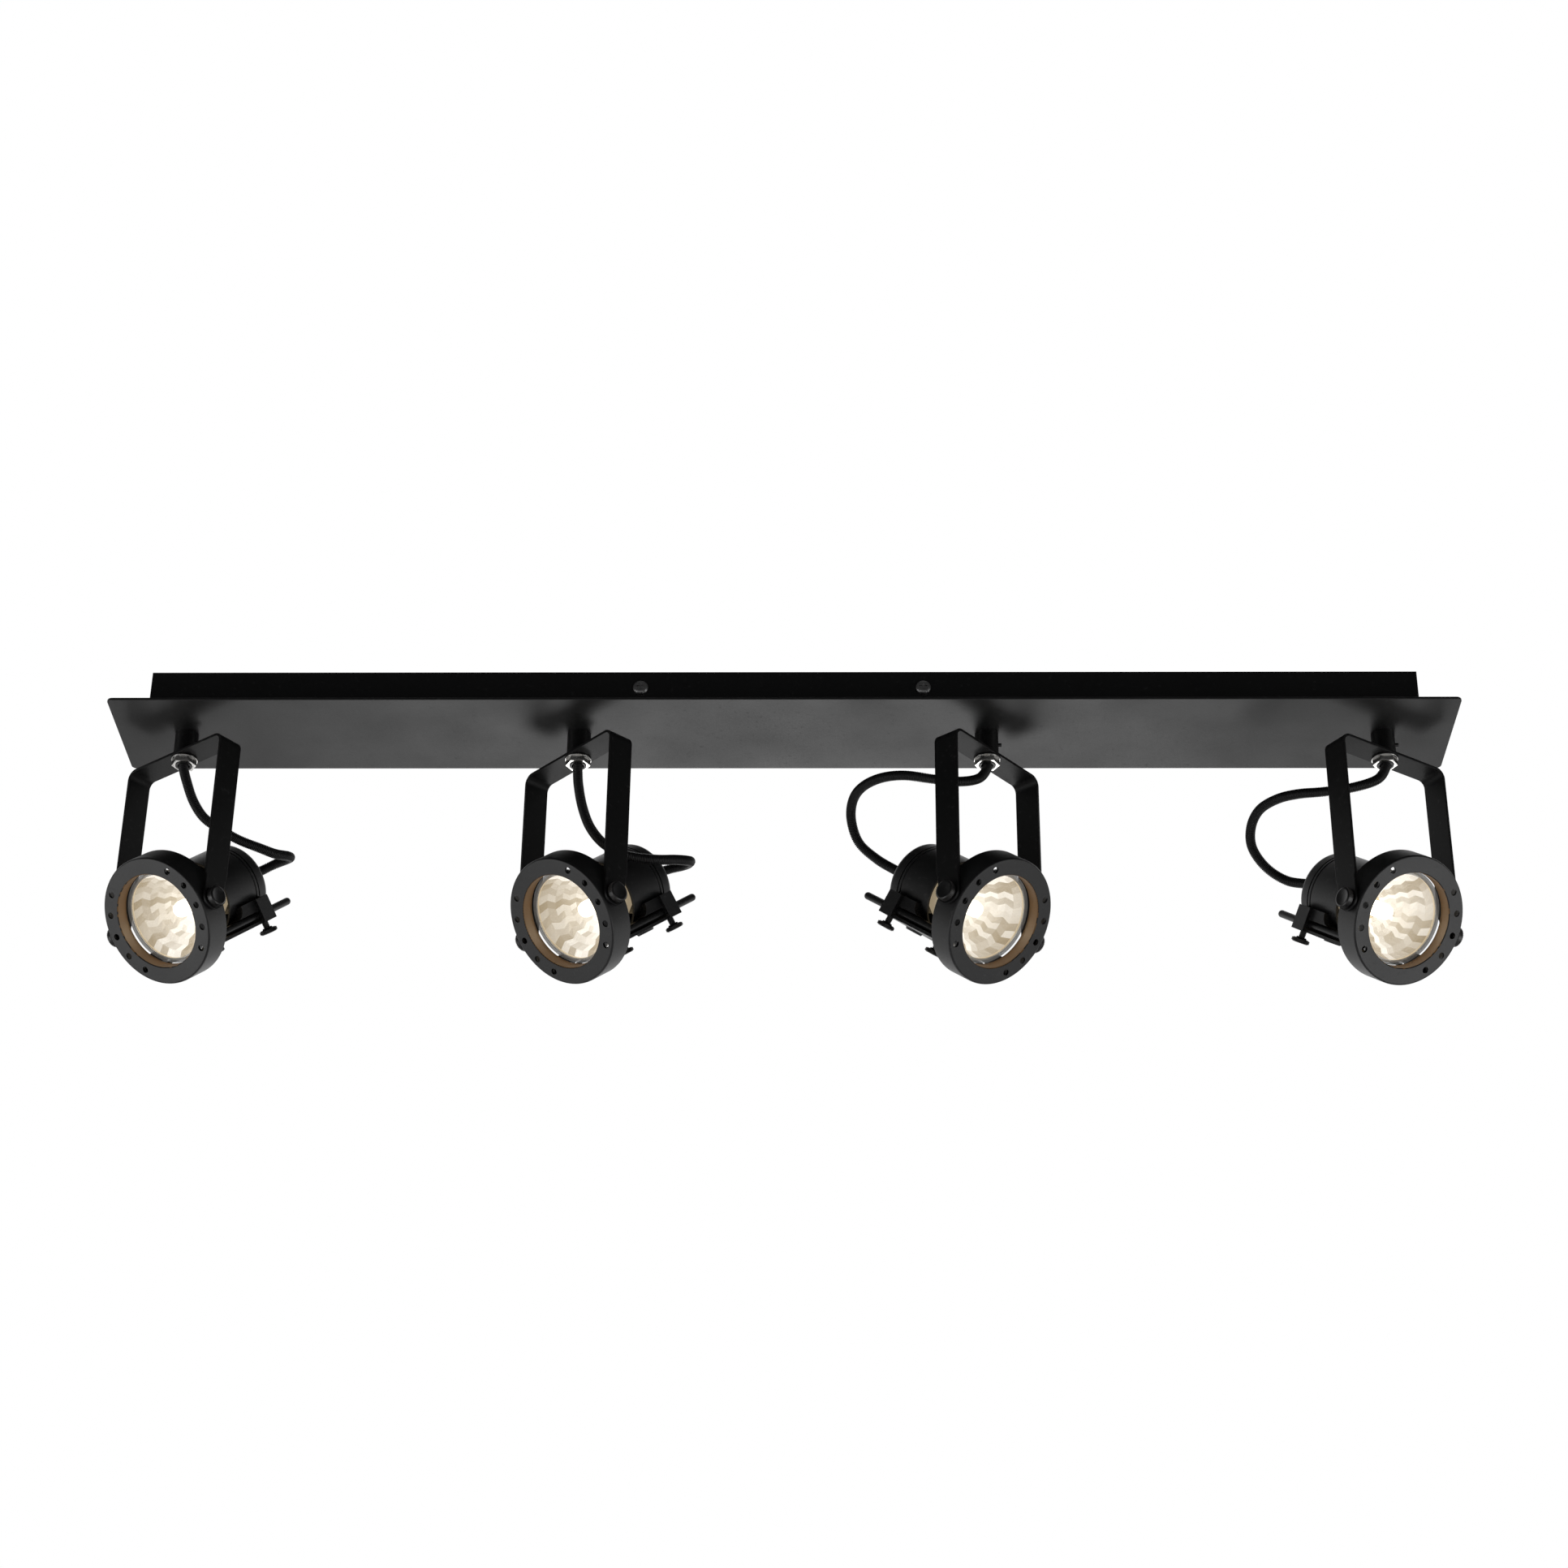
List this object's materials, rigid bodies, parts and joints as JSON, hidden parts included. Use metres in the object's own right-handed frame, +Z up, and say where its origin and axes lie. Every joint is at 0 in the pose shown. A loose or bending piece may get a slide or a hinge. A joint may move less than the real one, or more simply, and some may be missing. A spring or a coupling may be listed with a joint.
{
  "type": "track light",
  "caption": "Ceiling bar spotlight: a long sheet-metal canopy carrying swivelling yokes, each with a tilting round spot head, a sliding lamp housing and a sleeved lead.",
  "frame": {"origin": "middle of the ceiling face, where the canopy and its bracket meet the ceiling", "axes": "+X along the bar, -Y towards the viewer, +Z up into the ceiling"},
  "size_m": [0.71, 0.1037, 0.1628],
  "materials": {
    "black_sheet": "satin",
    "black_cast": "satin",
    "black_screw": "satin",
    "bright_nut": "polished",
    "zinc_plate": "satin",
    "lamp_glass": "gloss",
    "holder_ceramic": "satin",
    "terminal_plastic": "satin",
    "grommet_rubber": "matte",
    "lead_sleeve": "satin"
  },
  "bodies": {
    "base": {"canopy_box": "black_sheet", "face_plate": "black_sheet", "mounting_bracket": "zinc_plate", "cover_screws": "black_screw", "terminal_block": "terminal_plastic", "supply_grommet": "grommet_rubber", "swivel_stems": "black_sheet", "swivel_nuts": "bright_nut"},
    "yoke_1": {"yoke_1": "black_sheet", "lead_1": "lead_sleeve"},
    "head_1": {"bezel_1": "black_cast", "guide_rods_1": "black_sheet"},
    "carriage_1": {"barrel_1": "black_cast", "rear_cap_1": "black_cast", "saddle_1": "black_cast", "lampholder_1": "holder_ceramic", "lamp_1": "lamp_glass"},
    "pivot_knob_a_1": {"pivot_knob_a_1": "black_screw"},
    "clamp_screw_a_1": {"clamp_screw_a_1": "black_screw"},
    "pivot_knob_b_1": {"pivot_knob_b_1": "black_screw"},
    "clamp_screw_b_1": {"clamp_screw_b_1": "black_screw"},
    "yoke_2": {"yoke_2": "black_sheet", "lead_2": "lead_sleeve"},
    "head_2": {"bezel_2": "black_cast", "guide_rods_2": "black_sheet"},
    "carriage_2": {"barrel_2": "black_cast", "rear_cap_2": "black_cast", "saddle_2": "black_cast", "lampholder_2": "holder_ceramic", "lamp_2": "lamp_glass"},
    "pivot_knob_a_2": {"pivot_knob_a_2": "black_screw"},
    "clamp_screw_a_2": {"clamp_screw_a_2": "black_screw"},
    "pivot_knob_b_2": {"pivot_knob_b_2": "black_screw"},
    "clamp_screw_b_2": {"clamp_screw_b_2": "black_screw"},
    "yoke_3": {"yoke_3": "black_sheet", "lead_3": "lead_sleeve"},
    "head_3": {"bezel_3": "black_cast", "guide_rods_3": "black_sheet"},
    "carriage_3": {"barrel_3": "black_cast", "rear_cap_3": "black_cast", "saddle_3": "black_cast", "lampholder_3": "holder_ceramic", "lamp_3": "lamp_glass"},
    "pivot_knob_a_3": {"pivot_knob_a_3": "black_screw"},
    "clamp_screw_a_3": {"clamp_screw_a_3": "black_screw"},
    "pivot_knob_b_3": {"pivot_knob_b_3": "black_screw"},
    "clamp_screw_b_3": {"clamp_screw_b_3": "black_screw"},
    "yoke_4": {"yoke_4": "black_sheet", "lead_4": "lead_sleeve"},
    "head_4": {"bezel_4": "black_cast", "guide_rods_4": "black_sheet"},
    "carriage_4": {"barrel_4": "black_cast", "rear_cap_4": "black_cast", "saddle_4": "black_cast", "lampholder_4": "holder_ceramic", "lamp_4": "lamp_glass"},
    "pivot_knob_a_4": {"pivot_knob_a_4": "black_screw"},
    "clamp_screw_a_4": {"clamp_screw_a_4": "black_screw"},
    "pivot_knob_b_4": {"pivot_knob_b_4": "black_screw"},
    "clamp_screw_b_4": {"clamp_screw_b_4": "black_screw"}
  },
  "joints": [
    {"name": "turn_1", "type": "hinge", "parent": "base", "child": "yoke_1", "pos_m": [-0.3185, 0, -0.035], "axis": [0, 0, 1], "range_deg": [-128, 202]},
    {"name": "tilt_1", "type": "hinge", "parent": "yoke_1", "child": "head_1", "pos_m": [-0.3185, 0, -0.131], "axis": [0.7986, -0.6018, 0], "range_deg": [-41, 49], "deforming": ["lead_1"]},
    {"name": "slide_1", "type": "slide", "parent": "head_1", "child": "carriage_1", "axis": [0.4542, 0.6027, 0.6561], "range_m": [0, 0.01], "deforming": ["lead_1"]},
    {"name": "knob_a_1", "type": "hinge", "parent": "head_1", "child": "pivot_knob_a_1", "pos_m": [-0.28975, -0.02167, -0.131], "axis": [0.7986, -0.6018, 0], "range_deg": [0, 180]},
    {"name": "clamp_a_1", "type": "hinge", "parent": "carriage_1", "child": "clamp_screw_a_1", "pos_m": [-0.27103, 0.02976, -0.12261], "axis": [0.3948, 0.524, -0.7547], "range_deg": [0, 180]},
    {"name": "knob_b_1", "type": "hinge", "parent": "head_1", "child": "pivot_knob_b_1", "pos_m": [-0.34725, 0.02167, -0.131], "axis": [-0.7986, 0.6018, 0], "range_deg": [0, 180]},
    {"name": "clamp_b_1", "type": "hinge", "parent": "carriage_1", "child": "clamp_screw_b_1", "pos_m": [-0.30298, 0.05383, -0.12261], "axis": [0.3948, 0.524, -0.7547], "range_deg": [0, 180]},
    {"name": "turn_2", "type": "hinge", "parent": "base", "child": "yoke_2", "pos_m": [-0.1085, 0, -0.035], "axis": [0, 0, 1], "range_deg": [-118.5, 211.5]},
    {"name": "tilt_2", "type": "hinge", "parent": "yoke_2", "child": "head_2", "pos_m": [-0.1085, 0, -0.131], "axis": [0.6884, -0.7254, 0], "range_deg": [-39, 51], "deforming": ["lead_2"]},
    {"name": "slide_2", "type": "slide", "parent": "head_2", "child": "carriage_2", "axis": [0.5637, 0.535, 0.6293], "range_m": [0, 0.01], "deforming": ["lead_2"]},
    {"name": "knob_a_2", "type": "hinge", "parent": "head_2", "child": "pivot_knob_a_2", "pos_m": [-0.08372, -0.02611, -0.131], "axis": [0.6884, -0.7254, 0], "range_deg": [0, 180]},
    {"name": "clamp_a_2", "type": "hinge", "parent": "carriage_2", "child": "clamp_screw_a_2", "pos_m": [-0.05658, 0.02169, -0.12444], "axis": [0.4565, 0.4332, -0.7771], "range_deg": [0, 180]},
    {"name": "knob_b_2", "type": "hinge", "parent": "head_2", "child": "pivot_knob_b_2", "pos_m": [-0.13328, 0.02611, -0.131], "axis": [-0.6884, 0.7254, 0], "range_deg": [0, 180]},
    {"name": "clamp_b_2", "type": "hinge", "parent": "carriage_2", "child": "clamp_screw_b_2", "pos_m": [-0.08412, 0.05071, -0.12444], "axis": [0.4565, 0.4332, -0.7771], "range_deg": [0, 180]},
    {"name": "turn_3", "type": "hinge", "parent": "base", "child": "yoke_3", "pos_m": [0.1085, 0, -0.035], "axis": [0, 0, 1], "range_deg": [-215.5, 114.5]},
    {"name": "tilt_3", "type": "hinge", "parent": "yoke_3", "child": "head_3", "pos_m": [0.1085, 0, -0.131], "axis": [0.6361, 0.7716, 0], "range_deg": [-38, 52], "deforming": ["lead_3"]},
    {"name": "slide_3", "type": "slide", "parent": "head_3", "child": "carriage_3", "axis": [-0.608, 0.5012, 0.6157], "range_m": [0, 0.01], "deforming": ["lead_3"]},
    {"name": "knob_a_3", "type": "hinge", "parent": "head_3", "child": "pivot_knob_a_3", "pos_m": [0.1314, 0.02778, -0.131], "axis": [0.6361, 0.7716, 0], "range_deg": [0, 180]},
    {"name": "clamp_a_3", "type": "hinge", "parent": "carriage_3", "child": "clamp_screw_a_3", "pos_m": [0.08056, 0.04895, -0.12536], "axis": [-0.4751, 0.3916, -0.788], "range_deg": [0, 180]},
    {"name": "knob_b_3", "type": "hinge", "parent": "head_3", "child": "pivot_knob_b_3", "pos_m": [0.0856, -0.02778, -0.131], "axis": [-0.6361, -0.7716, 0], "range_deg": [0, 180]},
    {"name": "clamp_b_3", "type": "hinge", "parent": "carriage_3", "child": "clamp_screw_b_3", "pos_m": [0.05511, 0.01809, -0.12536], "axis": [-0.4751, 0.3916, -0.788], "range_deg": [0, 180]},
    {"name": "turn_4", "type": "hinge", "parent": "base", "child": "yoke_4", "pos_m": [0.3185, 0, -0.035], "axis": [0, 0, 1], "range_deg": [-199.5, 130.5]},
    {"name": "tilt_4", "type": "hinge", "parent": "yoke_4", "child": "head_4", "pos_m": [0.3185, 0, -0.131], "axis": [0.8241, 0.5664, 0], "range_deg": [-36.5, 53.5], "deforming": ["lead_4"]},
    {"name": "slide_4", "type": "slide", "parent": "head_4", "child": "carriage_4", "axis": [-0.4553, 0.6625, 0.5948], "range_m": [0, 0.01], "deforming": ["lead_4"]},
    {"name": "knob_a_4", "type": "hinge", "parent": "head_4", "child": "pivot_knob_a_4", "pos_m": [0.34817, 0.02039, -0.131], "axis": [0.8241, 0.5664, 0], "range_deg": [0, 180]},
    {"name": "clamp_a_4", "type": "hinge", "parent": "carriage_4", "child": "clamp_screw_a_4", "pos_m": [0.30506, 0.05487, -0.12674], "axis": [-0.3369, 0.4902, -0.8039], "range_deg": [0, 180]},
    {"name": "knob_b_4", "type": "hinge", "parent": "head_4", "child": "pivot_knob_b_4", "pos_m": [0.28883, -0.02039, -0.131], "axis": [-0.8241, -0.5664, 0], "range_deg": [0, 180]},
    {"name": "clamp_b_4", "type": "hinge", "parent": "carriage_4", "child": "clamp_screw_b_4", "pos_m": [0.27209, 0.03221, -0.12674], "axis": [-0.3369, 0.4902, -0.8039], "range_deg": [0, 180]}
  ]
}
